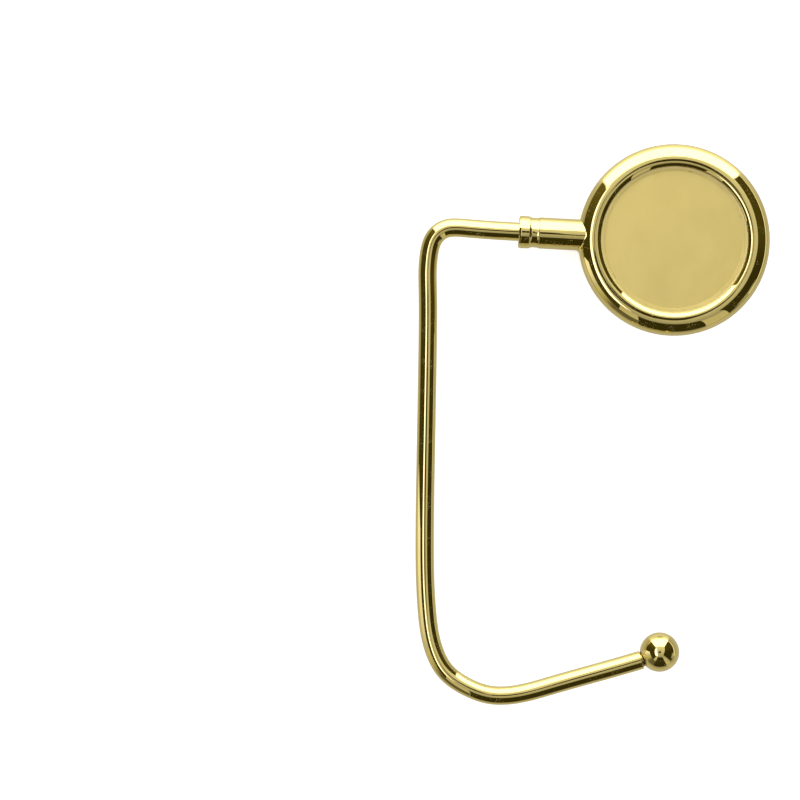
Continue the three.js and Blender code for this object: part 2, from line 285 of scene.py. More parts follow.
def plated(name, seed, wave=2.2e-6, polish=(0.012, 0.04), crevice_shades=(), dusty=0.3):
    """Bright gold plate: slightly wavy from polishing, with faint haze, wipe marks, a few pin specks and painted shade
    in the crevices.
    A crevice shade is (centre, from, to, amount, colour): full within from of the centre, and gone beyond to."""
    material, tree, shader, at = new_material(name)
    shader.inputs["Metallic"].default_value = 1.0
    cloud = noise(tree, at, 120.0, 3.0, 0.55, seed)
    shader_colour = mixed(tree, ramp(tree, cloud, 0.3, 0.7, 0.0, 1.0), (0.885, 0.715, 0.245), (0.915, 0.750, 0.268))
    wipe = noise(tree, stretched(tree, at, (1.0, 5.0, 2.0), (0.2, 0.1, 0.6)), 420.0, 4.0, 0.6, seed + 3.0)
    haze = noise(tree, at, 260.0, 3.0, 0.6, seed + 5.0)
    rough = maths(tree, "ADD", ramp(tree, haze, 0.35, 0.75, polish[0], polish[1]), ramp(tree, wipe, 0.45, 0.8, 0.0, 0.016))
    speck = tree.nodes.new("ShaderNodeTexVoronoi")
    speck.inputs["Scale"].default_value = 900.0
    tree.links.new(at, speck.inputs["Vector"])
    spots = ramp(tree, speck.outputs["Distance"], 0.06, 0.13, 1.0, 0.0)
    few = ramp(tree, noise(tree, at, 300.0, 2.0, 0.5, seed + 9.0), 0.58, 0.66, 0.0, 1.0)
    spots = maths(tree, "MULTIPLY", spots, few)
    colour = mixed(tree, maths(tree, "MULTIPLY", spots, 0.35), shader_colour, (0.42, 0.30, 0.08))
    # Painted shade: each crevice shade darkens the colour round its centre, standing in for the shadow in the gap
    # between the wire and the ball.
    for centre, near, far, amount, shade_colour in crevice_shades:
        away = tree.nodes.new("ShaderNodeVectorMath")
        away.operation = "DISTANCE"
        away.inputs[1].default_value = tuple(c * MM for c in centre)
        tree.links.new(at, away.inputs[0])
        colour = mixed(tree, ramp(tree, away.outputs["Value"], near * MM, far * MM, amount, 0.0), colour, shade_colour)
    # Fine dust and pin pits in patches, which catch light in the dark reflections.
    dust = tree.nodes.new("ShaderNodeTexVoronoi")
    dust.inputs["Scale"].default_value = 3000.0
    tree.links.new(at, dust.inputs["Vector"])
    grains = ramp(tree, dust.outputs["Distance"], 0.14, 0.34, dusty, 0.0)
    patches = ramp(tree, noise(tree, at, 340.0, 2.0, 0.6, seed + 15.0), 0.50, 0.64, 0.0, 1.0)
    grains = maths(tree, "MULTIPLY", grains, patches)
    colour = mixed(tree, grains, colour, (0.60, 0.45, 0.13))
    tree.links.new(maths(tree, "SUBTRACT", 1.0, grains), shader.inputs["Metallic"])
    tree.links.new(colour, shader.inputs["Base Color"])
    rough = maths(tree, "ADD", rough, maths(tree, "MULTIPLY", grains, 0.20))
    tree.links.new(maths(tree, "ADD", rough, maths(tree, "MULTIPLY", spots, 0.16)), shader.inputs["Roughness"])
    slow = noise(tree, at, 210.0, 1.5, 0.45, seed + 11.0)
    fine = noise(tree, at, 2200.0, 2.0, 0.5, seed + 13.0)
    normal = bump(tree, slow, wave)
    normal = bump(tree, fine, 1.3e-7, 1.0, normal)
    tree.links.new(bump(tree, spots, 1.5e-6, 1.0, normal), shader.inputs["Normal"])
    return material


def satin(name):
    """Satin gold face: fine brushing along Y, with faint cloudy patches where the blasting is finer."""
    material, tree, shader, at = new_material(name)
    shader.inputs["Metallic"].default_value = 1.0
    lines = noise(tree, stretched(tree, at, (9.0, 0.35, 1.0)), 900.0, 4.0, 0.6, 2.0)
    threads = noise(tree, stretched(tree, at, (16.0, 0.8, 1.0)), 1500.0, 2.0, 0.5, 6.0)
    cloud = noise(tree, stretched(tree, at, (1.0, 0.7, 1.0), (0, 0, 0.9)), 210.0, 3.0, 0.55, 4.0)
    tone = maths(tree, "ADD", maths(tree, "MULTIPLY", cloud, 0.7), maths(tree, "MULTIPLY", lines, 0.3))
    colour = mixed(tree, ramp(tree, tone, 0.34, 0.66, 0.0, 1.0), (0.875, 0.697, 0.232), (0.905, 0.728, 0.248))
    # A dark ring close to the face's edge, uneven, with a few darker spots along it: painted shade of a fine seam
    # groove.
    flat = tree.nodes.new("ShaderNodeVectorMath")
    flat.operation = "MULTIPLY"
    flat.inputs[1].default_value = (1.0, 1.0, 0.0)
    away = tree.nodes.new("ShaderNodeVectorMath")
    away.operation = "LENGTH"
    tree.links.new(at, flat.inputs[0])
    tree.links.new(flat.outputs[0], away.inputs[0])
    ring = maths(tree, "MULTIPLY", ramp(tree, away.outputs["Value"], 0.01548, 0.01566, 0.0, 1.0), ramp(tree, away.outputs["Value"], 0.01570, 0.01590, 1.0, 0.0))
    uneven = ramp(tree, noise(tree, at, 190.0, 2.0, 0.5, 14.0), 0.40, 0.62, 0.05, 0.22)
    spots = ramp(tree, noise(tree, at, 420.0, 1.0, 0.5, 17.0), 0.66, 0.72, 0.0, 0.4)
    colour = mixed(tree, maths(tree, "MULTIPLY", ring, maths(tree, "ADD", uneven, spots)), colour, (0.33, 0.25, 0.08))
    # Painted highlight: the outermost border is painted lighter, to make up for the shade that the lip's wall casts
    # there.
    colour = mixed(tree, ramp(tree, away.outputs["Value"], 0.01600, 0.01612, 0.0, 0.85), colour, (1.0, 0.83, 0.34))
    tree.links.new(colour, shader.inputs["Base Color"])
    rough = maths(tree, "ADD", ramp(tree, cloud, 0.3, 0.7, 0.37, 0.39), ramp(tree, threads, 0.35, 0.65, -0.02, 0.03))
    tree.links.new(rough, shader.inputs["Roughness"])
    normal = bump(tree, lines, 1.3e-6)
    tree.links.new(bump(tree, threads, 0.6e-6, 1.0, normal), shader.inputs["Normal"])
    return material


def plain_finish(name, low, high, metallic, rough, grain, depth, seed):
    """Small hidden parts, rubber and adhesive: mottled colour, uneven gloss and a fine grain."""
    material, tree, shader, at = new_material(name)
    shader.inputs["Metallic"].default_value = metallic
    cloud = noise(tree, at, grain * 0.25, 4.0, 0.6, seed)
    grit = noise(tree, at, grain, 3.0, 0.6, seed + 4.0)
    tree.links.new(mixed(tree, ramp(tree, cloud, 0.3, 0.7, 0.0, 1.0), low, high), shader.inputs["Base Color"])
    tree.links.new(ramp(tree, grit, 0.3, 0.7, rough[0], rough[1]), shader.inputs["Roughness"])
    tree.links.new(bump(tree, grit, depth), shader.inputs["Normal"])
    return material


# Painted shade colours: the dark gap where the wire meets the ball, and the duller band round it on the ball.
CREVICE_SHADE, CREVICE_HALF_SHADE = (0.16, 0.12, 0.05), (0.55, 0.45, 0.20)
GOLD_HEAD = plated("gold_plate_head", 1.0, 1.6e-6, dusty=0.38)
GOLD_WIRE = plated("gold_plate_wire", 21.0, 1.6e-6, (0.012, 0.04), [((-0.73, -94.09, 4.45), 2.62, 2.74, 0.5, CREVICE_SHADE)])
GOLD_BALL = plated("gold_plate_ball", 41.0, 1.3e-6, (0.010, 0.032), [((-3.10, -94.95, 4.45), 2.6, 3.3, 0.3, CREVICE_HALF_SHADE), ((-3.10, -94.95, 4.45), 2.12, 2.30, 0.7, CREVICE_SHADE)])
GOLD_COLLAR = plated("gold_plate_collar", 61.0, 1.0e-6)
SATIN = satin("satin_gold_face")
RUBBER = plain_finish("moulded_rubber", (0.014, 0.014, 0.015), (0.026, 0.026, 0.027), 0.0, (0.62, 0.82), 3800.0, 1.4e-5, 3.0)
STEEL = plain_finish("spring_steel", (0.52, 0.53, 0.55), (0.64, 0.65, 0.67), 1.0, (0.24, 0.4), 2600.0, 1.5e-6, 7.0)
ACETAL = plain_finish("acetal_bush", (0.76, 0.75, 0.70), (0.86, 0.85, 0.81), 0.0, (0.38, 0.52), 1800.0, 3.0e-6, 9.0)
GLUE = plain_finish("adhesive_film", (0.70, 0.68, 0.58), (0.80, 0.78, 0.70), 0.0, (0.55, 0.75), 900.0, 8.0e-6, 12.0)

# ------------------------------------------------------------------ head casting
HEAD_R, CREST_R, CREST_IN_R, CREST_Z, EQUATOR_Z = 21.55, 17.955, 17.775, 8.45, 5.03
FOOT_R, FOOT_Z, LIP_R, LIP_WIDE, LIP_DROP = 19.0, 0.9, 16.55, 1.8, 1.66
FACE_SEAT_Z, PAD_SEAT_R, PAD_SEAT_Z = 6.2, 18.7, 2.2
BARREL_R, BARREL_END, BORE_R, BORE_END = 3.51, 30.42, 2.72, 20.9
LOW_A, LOW_B = HEAD_R - FOOT_R, EQUATOR_Z - FOOT_Z
TOP_A, TOP_B = HEAD_R - CREST_R, CREST_Z - EQUATOR_Z
ARC = 5.3  # about the length in millimetres of each quarter of the rim's outer side

RIM_COLUMNS = 384
BARREL_COLUMNS = 144


def rim_outside(turn, q):
    """Place and normal on the rim's outer side: q runs from 0 at the foot over 1 at the widest circle to 2 at the crest."""
    turn, q = np.asarray(turn, float), np.asarray(q, float)
    t = (q - 1) * PI / 2
    low = q < 1
    ca, ha, hb = np.where(low, FOOT_R, CREST_R), np.where(low, LOW_A, TOP_A), np.where(low, LOW_B, TOP_B)
    r, z = ca + ha * np.cos(t), EQUATOR_Z + hb * np.sin(t)
    nr, nz = np.cos(t) / ha, np.sin(t) / hb
    length = np.hypot(nr, nz)
    nr, nz = nr / length, nz / length
    return np.stack([r * np.cos(turn), r * np.sin(turn), z], -1), np.stack([nr * np.cos(turn), nr * np.sin(turn), nz], -1)


def to_barrel(p):
    return np.hypot(p[..., 1], p[..., 2] - AXIS_Z) - BARREL_R


def to_rim(p):
    r, z = np.hypot(p[..., 0], p[..., 1]), p[..., 2] - EQUATOR_Z
    top = np.hypot(r - CREST_R, z * TOP_A / TOP_B) - TOP_A
    k = np.hypot((r - FOOT_R) / LOW_A, z / LOW_B)
    g = np.hypot((r - FOOT_R) / LOW_A**2, z / LOW_B**2)
    return np.where(z > 0, top, k * (k - 1) / np.maximum(g, 1e-9))


def blend_radius(p):
    """Radius of the fillet between barrel and rim: none under the foot, small on the +Y side and the top, larger on the -Y side."""
    up = np.clip((p[..., 2] - 0.95) / 1.9, 0, 1)
    side = np.clip((-2.4 - p[..., 1]) / 1.1, 0, 1)
    return 0.02 + up * up * (3 - 2 * up) * (0.16 + 0.66 * side * side * (3 - 2 * side))


def joined(p):
    a, b, r = to_barrel(p), to_rim(p), blend_radius(p)
    return np.maximum(r, np.minimum(a, b)) - np.hypot(np.maximum(r - a, 0), np.maximum(r - b, 0))


def slope_of(p, h=2e-5):
    g = np.stack([(joined(p + h * e) - joined(p - h * e)) / (2 * h) for e in np.eye(3)], -1)
    return g


def settle(p, rounds=24):
    for _ in range(rounds):
        g = slope_of(p)
        p = p - np.clip(joined(p), -0.3, 0.3)[..., None] * g / np.maximum((g * g).sum(-1), 1e-6)[..., None]
    return p


head = Skin()
columns = full_turn(RIM_COLUMNS)
q_rows = np.concatenate([np.linspace(0, 1, 25), np.linspace(1, 2, 49)[1:]])

# The face recess: its floor, wall and rounded lip up to the crest.
lip_stop = 180 - math.degrees(math.acos((CREST_IN_R - LIP_R - 0.09) / LIP_WIDE))
lip = oval(CREST_IN_R, CREST_Z - LIP_DROP, LIP_WIDE, LIP_DROP, 90, lip_stop, 40)
foot = lip[-1]
corner_z = foot[1] - (foot[0] - LIP_R) * abs(foot[2]) / foot[3]
inside = outline([(foot[0], foot[1]), (LIP_R, corner_z, 0.09), (LIP_R, FACE_SEAT_Z, 0.08), (0, FACE_SEAT_Z)], 10)[0]
turned(head, np.concatenate([lip[::-1], [[CREST_R, CREST_Z, 0, 1]]]), columns)
turned(head, spread(inside, 3.0), columns)
# The underside: foot edge, wall and ceiling of the pad's recess.
below = outline([(0, PAD_SEAT_Z), (PAD_SEAT_R, PAD_SEAT_Z, 0.1), (PAD_SEAT_R, FOOT_Z, 0.1), (FOOT_R, FOOT_Z)])[0]
turned(head, spread(below, 3.0), columns)

# The outer side, apart from a window where the barrel joins.
half_window = 18
middle = RIM_COLUMNS // 2
outer_columns = [(middle + half_window + k) % RIM_COLUMNS for k in range(RIM_COLUMNS - 2 * half_window + 1)]
a = columns[outer_columns]
p, n = rim_outside(a[None, :] + 0 * q_rows[:, None], q_rows[:, None] + 0 * a[None, :])
head.grid(p, n)

# Where barrel and rim meet, as a loop round the barrel's axis.
phi = full_turn(BARREL_COLUMNS)
ly, lz = BARREL_R * np.cos(phi), AXIS_Z + BARREL_R * np.sin(phi)
s = (lz - EQUATOR_Z) / np.where(lz < EQUATOR_Z, LOW_B, TOP_B)
lq = 1 + np.arcsin(s) / (PI / 2)
lr = np.where(lz < EQUATOR_Z, FOOT_R + LOW_A * np.sqrt(1 - s * s), CREST_R + TOP_A * np.sqrt(1 - s * s))
lx = -np.sqrt(lr * lr - ly * ly)
meet = np.stack([lx, ly, lz], 1)
meet_u, meet_v = -np.arcsin(ly / lr) * 21.0, lq * ARC
reach = 0.14 + blend_radius(meet) * (1.45 + 1.0 * np.abs(np.sin(phi)) ** 2)
way_u, way_v = meet_u, meet_v - (1 + math.asin((AXIS_Z - EQUATOR_Z) / LOW_B) / (PI / 2)) * ARC
way_length = np.hypot(way_u, way_v)
way_u, way_v = way_u / way_length, way_v / way_length
FILLET_ROWS = 29
steps = np.sin(np.linspace(-1, 1, FILLET_ROWS) * PI / 2) * 0.35 + np.linspace(-1, 1, FILLET_ROWS) * 0.65
p, n = np.zeros((FILLET_ROWS, BARREL_COLUMNS, 3)), np.zeros((FILLET_ROWS, BARREL_COLUMNS, 3))
for i, t in enumerate(steps):
    if t <= 0:
        p[i] = meet + t * reach[:, None] * np.array([1.0, 0, 0])
    else:
        u, v = meet_u + t * reach * way_u, meet_v + t * reach * way_v
        p[i] = rim_outside(PI + u / 21.0, v / ARC)[0]
ends = p[0].copy(), p[-1].copy()
p = settle(p)
n = slope_of(p)
p[0], p[-1] = ends
n[0] = np.stack([0 * phi, np.cos(phi), np.sin(phi)], 1)
edge_u, edge_v = meet_u + reach * way_u, meet_v + reach * way_v
n[-1] = rim_outside(PI + edge_u / 21.0, edge_v / ARC)[1]
head.grid(p, n, around=True)
barrel_edge = p[0]

# The patch of the rim round that loop.
grid_u = np.array([(k - half_window) * 2 * PI / RIM_COLUMNS * 21.0 for k in range(2 * half_window + 1)])
grid_v = q_rows * ARC
points, border = [], []
columns_n, rows_n = len(grid_u), len(grid_v)
for j in range(columns_n):
    border.append((grid_u[j], grid_v[0]))
for i in range(1, rows_n):
    border.append((grid_u[-1], grid_v[i]))
for j in range(columns_n - 2, -1, -1):
    border.append((grid_u[j], grid_v[-1]))
for i in range(rows_n - 2, 0, -1):
    border.append((grid_u[0], grid_v[i]))
loop = list(zip(edge_u, edge_v))
centre_v = float(np.mean(edge_v))
loop_angle = np.arctan2(edge_v - centre_v, edge_u)
loop_radius = np.hypot(edge_v - centre_v, edge_u)
order = np.argsort(loop_angle)
wrapped = np.concatenate([loop_angle[order] - 2 * PI, loop_angle[order], loop_angle[order] + 2 * PI])
wrapped_r = np.tile(loop_radius[order], 3)


def outside_loop(u, v, spare):
    return math.hypot(u, v - centre_v) > np.interp(math.atan2(v - centre_v, u), wrapped, wrapped_r) + spare


inner = [
    (u, v)
    for v in grid_v[1:-1]
    for u in grid_u[1:-1]
    if outside_loop(u, v, 0.12)
]
points = border + loop + inner
nb, nl = len(border), len(loop)
edges = [(i, (i + 1) % nb) for i in range(nb)] + [(nb + i, nb + (i + 1) % nl) for i in range(nl)]
found, _, faces_found, _, _, _ = delaunay_2d_cdt(points, edges, [], 0, 1e-7, False)
found = np.array([(v[0], v[1]) for v in found])
places, normals = rim_outside(PI + found[:, 0] / 21.0, found[:, 1] / ARC)
kept = [
    f
    for f in faces_found
    if len(f) == 3 and outside_loop(float(found[list(f), 0].mean()), float(found[list(f), 1].mean()), 0.0)
]
kept = np.array(kept)
# Corners on the window's own border are taken from the same formula as the faces next to it.
head.faces(places[kept], normals[kept])

# The barrel from the fillet to its mouth, its bore and the bore's bottom.
mouth = outline([(BARREL_R, 29.0), (BARREL_R, BARREL_END, 0.14), (BORE_R, BARREL_END, 0.08), (BORE_R, BORE_END, 0.2), (0, BORE_END)], 14)[0]
rows = 20
t = np.linspace(0, 1, rows)[:, None, None]
start = np.stack([0 * phi - 29.0, BARREL_R * np.cos(phi), AXIS_Z + BARREL_R * np.sin(phi)], 1)
p = start[None] * (1 - t) + barrel_edge[None] * t
n = np.stack([0 * phi, np.cos(phi), np.sin(phi)], 1)[None] + 0 * p
head.grid(p, n, around=True)
turned(head, spread(mouth, 1.2), phi, **BARREL_AXES)
HEAD = head.build("plated_head", GOLD_HEAD, "head", "gold_plate", "head_casting")

# ------------------------------------------------------------------ face plate
face = Skin()
plate = outline(
    [(0, 6.33), (16.5, 6.33, 0.05), (16.5, 6.823, 0.01), (16.33, 6.80, 1.5), (15.95, 6.80, 0.8), (15.35, 6.755, 1.0), (0, 6.755)], 14
)[0]
turned(face, spread(plate, 1.0), full_turn(320))
FACE = face.build("satin_face", SATIN, "head", "satin_gold", "face_plate")

# ------------------------------------------------------------------ grip pad with its rings
pad = Skin()
groove = []
for r in (6.5, 10.5, 14.5):
    groove += [(r, 0, 0.12), (r + 0.1, 0.4, 0.1), (r + 0.6, 0.4, 0.1), (r + 0.7, 0, 0.12)]
rows = outline([(0, 0)] + groove + [(18.5, 0, 0.4), (18.5, 2.05, 0.12), (0, 2.05)], 6)[0]
turned(pad, spread(rows, 1.2), full_turn(240))
PAD = pad.build("rubber_pad", RUBBER, "head", "rubber", "grip_pad")

# ------------------------------------------------------------------ adhesive films
film = Skin()
turned(film, spread(outline([(0, 6.22), (15.6, 6.22, 0.04), (15.6, 6.31, 0.04), (0, 6.31)], 3)[0], 2.5), full_turn(160))
film.build("face_film", GLUE, "head", "adhesive", "face_plate_adhesive")
film = Skin()
turned(film, spread(outline([(0, 2.07), (18.1, 2.07, 0.045), (18.1, 2.18, 0.045), (0, 2.18)], 3)[0], 2.5), full_turn(160))
film.build("pad_film", GLUE, "head", "adhesive", "grip_pad_adhesive")

# ------------------------------------------------------------------ collar
collar = Skin()
rows = outline(
    [
        (2.15, 30.0),
        (2.15, 27.4, 0.05),
        (2.69, 27.4, 0.12),
        (2.69, 30.46),
        (3.40, 30.46, 0.05),
        (3.345, 30.8, 1.4),
        (3.32, 31.4, 2.4),
        (3.345, 32.0, 1.4),
        (3.44, 32.3, 0.3),
        (3.62, 32.56, 0.32),
        (3.675, 34.4, 0.4),
        (3.52, 34.93, 0.20),
        (2.24, 34.93, 0.06),
        (2.15, 34.78, 0.06),
        (2.15, 30.0),
    ],
    10,
)
for run in rows:
    turned(collar, spread(run, 0.5), full_turn(128), **BARREL_AXES)
COLLAR = collar.build("swivel_collar", GOLD_COLLAR, "head", "gold_plate", "barrel_collar")

# ------------------------------------------------------------------ parts inside the barrel
washer = Skin()
rows = outline([(2.4, 27.05), (2.62, 27.05, 0.05), (2.62, 27.38, 0.05), (2.2, 27.38, 0.05), (2.2, 27.05, 0.05), (2.4, 27.05)], 3)[0]
turned(washer, rows, full_turn(96), **BARREL_AXES)
washer.build("flat_washer", STEEL, "head", "spring_steel", "thrust_washer")

bush = Skin()
rows = outline([(2.4, 21.1), (2.68, 21.1, 0.1), (2.68, 25.1, 0.1), (2.14, 25.1, 0.06), (2.14, 21.1, 0.06), (2.4, 21.1)], 4)[0]
turned(bush, spread(rows, 1.0), full_turn(96), **BARREL_AXES)
bush.build("bush_sleeve", ACETAL, "head", "acetal", "friction_bush")

wave = Skin()
rows = outline([(2.4, 26.2), (2.62, 26.2, 0.05), (2.62, 26.45, 0.05), (2.2, 26.45, 0.05), (2.2, 26.2, 0.05), (2.4, 26.2)], 3)[0]
angles = full_turn(144)
out = np.stack([0 * angles, np.sin(angles), np.cos(angles)], 1)
p = np.array([0, 0, AXIS_Z]) + rows[:, None, 0, None] * out[None]
p[..., 0] = -(rows[:, None, 1] + 0.2 * np.sin(3 * angles)[None])
n = rows[:, None, 2, None] * out[None]
n[..., 0] = -rows[:, None, 3]
wave.grid(p, n, around=True)
wave.build("wavy_washer", STEEL, "head", "spring_steel", "wave_washer")

clip = Skin()
section = outline([(2.1, 25.4), (2.5, 25.4, 0.06), (2.5, 25.9, 0.06), (1.7, 25.9, 0.06), (1.7, 25.4, 0.06), (2.1, 25.4)], 3)[0]
angles = np.radians(np.linspace(19, 341, 97))
out = np.stack([0 * angles, np.sin(angles), np.cos(angles)], 1)
along = np.array([-1.0, 0, 0])
p = np.array([0, 0, AXIS_Z]) + section[:, None, 0, None] * out[None] + section[:, None, 1, None] * along
n = section[:, None, 2, None] * out[None] + section[:, None, 3, None] * along
clip.grid(p, n)
for end, sign in ((0, -1), (-1, 1)):
    tangent = sign * np.array([0, math.cos(angles[end]), -math.sin(angles[end])])
    rim = p[:-1, end]
    hub = rim.mean(0)
    ring = np.stack([rim, np.roll(rim, -1, 0), np.repeat(hub[None], len(rim), 0)], 1)
    clip.faces(ring, np.broadcast_to(tangent, ring.shape).copy())
clip.build("snap_ring", STEEL, "hook", "spring_steel", "retaining_ring")

# ------------------------------------------------------------------ hook wire
WIRE_R, WIRE_START, WIRE_LENGTH = 2.08, 34.93, 165.2
BENDS = np.array(
    [
        [0, 0.0], [5, -0.0042], [10, -0.0052], [12, 0.0105], [13.5, 0.0364], [15, 0.1278], [16.5, 0.2032], [18, 0.2043],
        [19.5, 0.1896], [21, 0.1535], [23, 0.0524], [25, 0.0313], [28, 0.0261], [32, -0.005], [45, -0.0004], [65, 0.0],
        [85, 0.0014], [97, 0.0058], [104, 0.0093], [109, 0.0319], [113, 0.0432], [116, 0.0732], [118.5, 0.0943], [121, 0.0695],
        [124, 0.0405], [127, 0.0516], [130, 0.076], [133, 0.0486], [137, 0.0317], [141, 0.0101], [145, -0.0026], [155, 0.0006],
        [165.2, 0.0036],
    ]
)  # length along the centreline and curvature in 1/mm, positive to the left


def bend_slopes():
    h = np.diff(BENDS[:, 0])
    d = np.diff(BENDS[:, 1]) / h
    m = np.zeros(len(BENDS))
    for i in range(1, len(BENDS) - 1):
        if d[i - 1] * d[i] > 0:
            w1, w2 = 2 * h[i] + h[i - 1], h[i] + 2 * h[i - 1]
            m[i] = (w1 + w2) / (w1 / d[i - 1] + w2 / d[i])
    return m


SLOPES = bend_slopes()


def curvature(s):
    i = int(np.clip(np.searchsorted(BENDS[:, 0], s, side="left") - 1, 0, len(BENDS) - 2))
    h = BENDS[i + 1, 0] - BENDS[i, 0]
    t = min(1.0, max(0.0, (s - BENDS[i, 0]) / h))
    y0, y1, m0, m1 = BENDS[i, 1], BENDS[i + 1, 1], SLOPES[i] * h, SLOPES[i + 1] * h
    t2, t3 = t * t, t * t * t
    return (2 * t3 - 3 * t2 + 1) * y0 + (t3 - 2 * t2 + t) * m0 + (-2 * t3 + 3 * t2) * y1 + (t3 - t2) * m1


STATION = 0.05
line = [(0.0, -WIRE_START, 0.0, PI)]
for k in range(int(round(WIRE_LENGTH / STATION))):
    s, x, y, heading = line[-1]
    turned_to = heading + curvature(s + STATION / 2) * STATION
    mid = (heading + turned_to) / 2
    line.append((s + STATION, x + math.cos(mid) * STATION, y + math.sin(mid) * STATION, turned_to))
line = np.array(line)
picked = [0]
for k in range(1, len(line)):
    last = line[picked[-1]]
    if abs(line[k, 3] - last[3]) > math.radians(1.2) or line[k, 0] - last[0] >= 1.5:
        picked.append(k)
if picked[-1] != len(line) - 1:
    picked.append(len(line) - 1)
stations = line[picked]
tip_x, tip_y, tip_heading = line[-1, 1:]
tip_way = np.array([math.cos(tip_heading), math.sin(tip_heading), 0.0])
tip_side = np.array([math.sin(tip_heading), -math.cos(tip_heading), 0.0])
TIP_EDGE = 0.2

wire = Skin()
wire_angles = full_turn(72)
centres = np.stack([stations[:, 1], stations[:, 2], np.full(len(stations), AXIS_Z)], 1)
centres[-1] -= tip_way * TIP_EDGE
sides = np.stack([np.sin(stations[:, 3]), -np.cos(stations[:, 3]), 0 * stations[:, 3]], 1)
out = np.cos(wire_angles)[None, :, None] * sides[:, None] + np.sin(wire_angles)[None, :, None] * np.array([0, 0, 1.0])
wire.grid(centres[:, None] + WIRE_R * out, out, around=True)
journal = outline(
    [
        (0, 23.6), (WIRE_R, 23.6, 0.3), (WIRE_R, 25.3, 0.05), (1.65, 25.3, 0.08), (1.65, 26.0, 0.08), (WIRE_R, 26.0, 0.05), (WIRE_R, 34.93),
    ],
    5,
)[0]
turned(wire, spread(journal, 1.2), wire_angles, **BARREL_AXES)
tip = outline([(WIRE_R, -TIP_EDGE), (WIRE_R, 0, TIP_EDGE - 0.001), (1.6, 0, 0.05), (1.6, 3.4, 0.2), (0, 3.4)], 6)[0]
tip[0, 1] = -TIP_EDGE
TIP_AXES = {"origin": (tip_x, tip_y, AXIS_Z), "axis": tip_way, "first": tip_side, "second": (0, 0, 1)}
turned(wire, spread(tip, 0.8), wire_angles, **TIP_AXES)
WIRE = wire.build("plated_wire", GOLD_WIRE, "hook", "gold_plate", "hook_wire")

# ------------------------------------------------------------------ ball tip
BALL_R, BALL_AHEAD, BALL_ASIDE, BALL_BORE_R, BALL_BORE_DEPTH = 4.44, 4.36, 0.48, 1.66, 3.7
ball = Skin()
tip_at = np.array([tip_x, tip_y, AXIS_Z])
ball_centre = tip_at + tip_way * BALL_AHEAD - tip_side * BALL_ASIDE
ball_angles = full_turn(120)
ring = np.cos(ball_angles)[:, None] * tip_side + np.sin(ball_angles)[:, None] * np.array([0, 0, 1.0])
BORE_EDGE = 0.06


def on_ball(radius):
    """Where a circle round the wire's axis meets the near side of the ball."""
    flat = tip_at + radius * ring - ball_centre
    off = flat - (flat @ tip_way)[:, None] * tip_way
    return ball_centre + off - tip_way * np.sqrt(BALL_R**2 - (off * off).sum(1))[:, None]


edge = on_ball(BALL_BORE_R + BORE_EDGE)
unit = (edge - ball_centre) / BALL_R
angle = np.arccos(np.clip(unit @ tip_way, -1, 1))
t = np.linspace(0, 1, 81)[:, None, None]
u = (np.sin((1 - t) * angle[None, :, None]) * unit[None] + np.sin(t * angle[None, :, None]) * tip_way) / np.sin(angle)[None, :, None]
u[-1] = tip_way
ball.grid(ball_centre + BALL_R * u, u, around=True)
wall = on_ball(BALL_BORE_R)
depth_at = ((wall - tip_at) @ tip_way)[:, None]
wall_top = tip_at + BALL_BORE_R * ring + tip_way * (depth_at + BORE_EDGE)
ball.grid(np.stack([edge, wall_top]), np.stack([unit, -ring]), around=True)
deep = tip_at + BALL_BORE_R * ring + tip_way * BALL_BORE_DEPTH
ball.grid(np.stack([wall_top, (wall_top + deep) / 2, deep]), np.stack([-ring] * 3), around=True)
cone = tip_at + tip_way * (BALL_BORE_DEPTH + 0.5)
cone_n = -tip_way - ring * 0.35
ball.grid(np.stack([deep, np.repeat(cone[None], len(ring), 0)]), np.stack([cone_n, cone_n]), around=True)
BALL = ball.build("plated_ball", GOLD_BALL, "hook", "gold_plate", "ball_tip")


# ------------------------------------------------------------------ floor, light and surroundings
def glow(name, strength, colour=(1.0, 1.0, 1.0)):
    """An even light surface."""
    material = bpy.data.materials.new(name)
    material.use_nodes = True
    tree = material.node_tree
    tree.nodes.clear()
    out = tree.nodes.new("ShaderNodeOutputMaterial")
    shader = tree.nodes.new("ShaderNodeEmission")
    shader.inputs["Color"].default_value = (*colour, 1.0)
    shader.inputs["Strength"].default_value = strength
    tree.links.new(shader.outputs["Emission"], out.inputs["Surface"])
    return material, tree, shader


def shaded_glow(name, rules, colour=(1.0, 1.0, 1.0)):
    """A light surface whose strength is a product of smooth steps along the axes: rules are (axis, from, to, low, high) in metres."""
    material, tree, shader = glow(name, 1.0, colour)
    place = tree.nodes.new("ShaderNodeTexCoord")
    split = tree.nodes.new("ShaderNodeSeparateXYZ")
    tree.links.new(place.outputs["Object"], split.inputs[0])
    value = None
    for axis, start, stop, low, high in rules:
        part = ramp(tree, split.outputs[axis], start, stop, low, high)
        value = part if value is None else maths(tree, "MULTIPLY", value, part)
    tree.links.new(value, shader.inputs["Strength"])
    return material


def card(name, corners, material, floor=False):
    mesh = bpy.data.meshes.new(name)
    mesh.from_pydata([tuple(c * MM for c in p) for p in corners], [], [tuple(range(len(corners)))])
    mesh.materials.append(material)
    thing = bpy.data.objects.new(name, mesh)
    scene.collection.objects.link(thing)
    if not floor:
        thing.visible_camera = False
        thing.visible_shadow = False
        thing.visible_diffuse = False
        thing.visible_transmission = False
    return thing


def standing(x0, y0, x1, y1, tops, foot=-6.0):
    """An upright card from (x0, y0) to (x1, y1), whose top edge has the given heights at even steps."""
    count = len(tops)
    top = [(x0 + (x1 - x0) * k / (count - 1), y0 + (y1 - y0) * k / (count - 1), tops[k]) for k in range(count)]
    return [(x0, y0, foot), (x1, y1, foot)] + top[::-1]


